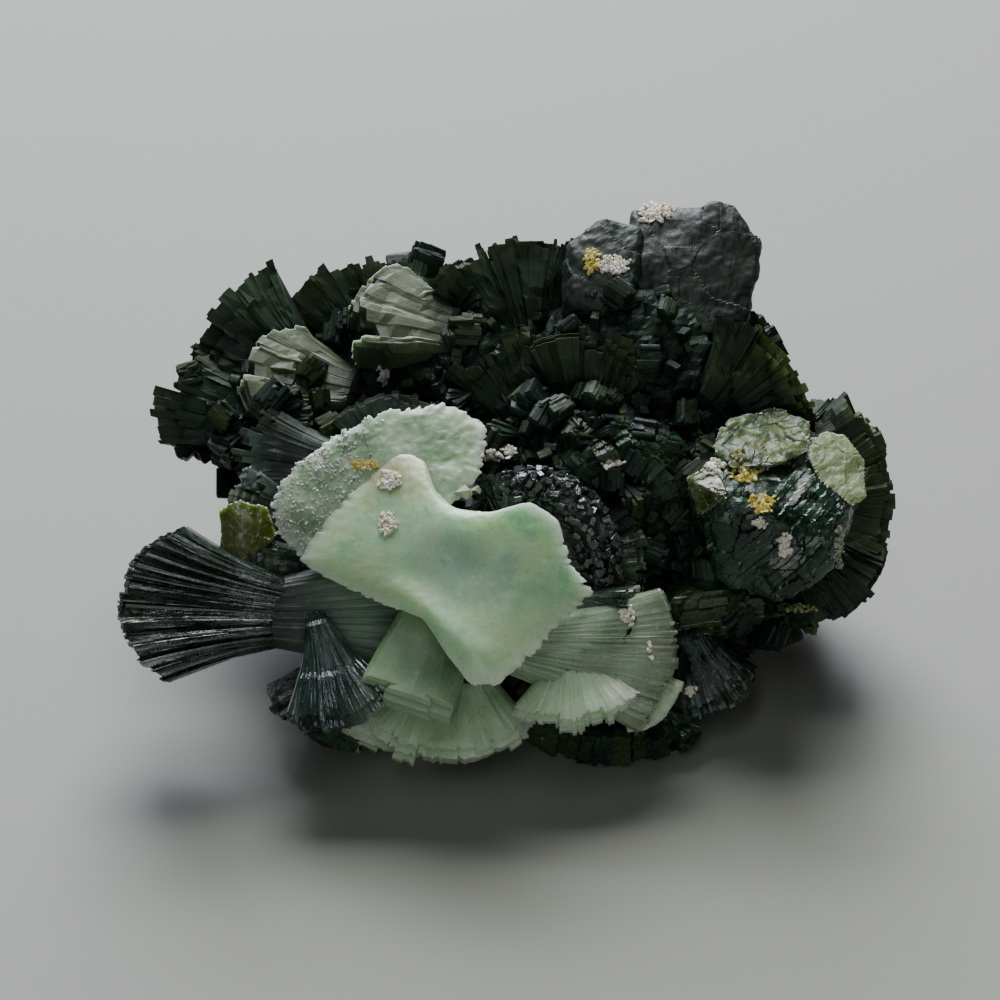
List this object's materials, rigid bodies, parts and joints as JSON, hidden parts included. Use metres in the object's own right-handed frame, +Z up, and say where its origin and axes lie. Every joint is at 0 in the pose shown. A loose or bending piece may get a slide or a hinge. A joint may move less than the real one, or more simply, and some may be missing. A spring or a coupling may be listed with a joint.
{
  "type": "prehnite crystal cluster",
  "caption": "Natural prehnite crystal cluster: dark green bow-tie sheaves with pale green translucent blades at the front, resting on a shelf or table as a display specimen.",
  "frame": {"origin": "on the surface that the specimen rests on, under the middle of its bounding box", "axes": "+Z up, +X to the right as seen from the pale front, -Y towards the pale front"},
  "size_m": [0.0512, 0.0392, 0.0267],
  "materials": {
    "dark_prehnite": "gloss",
    "pale_prehnite": "satin",
    "calcite": "matte"
  },
  "bodies": {
    "root": {"prehnite_cluster": "dark_prehnite"}
  },
  "joints": []
}
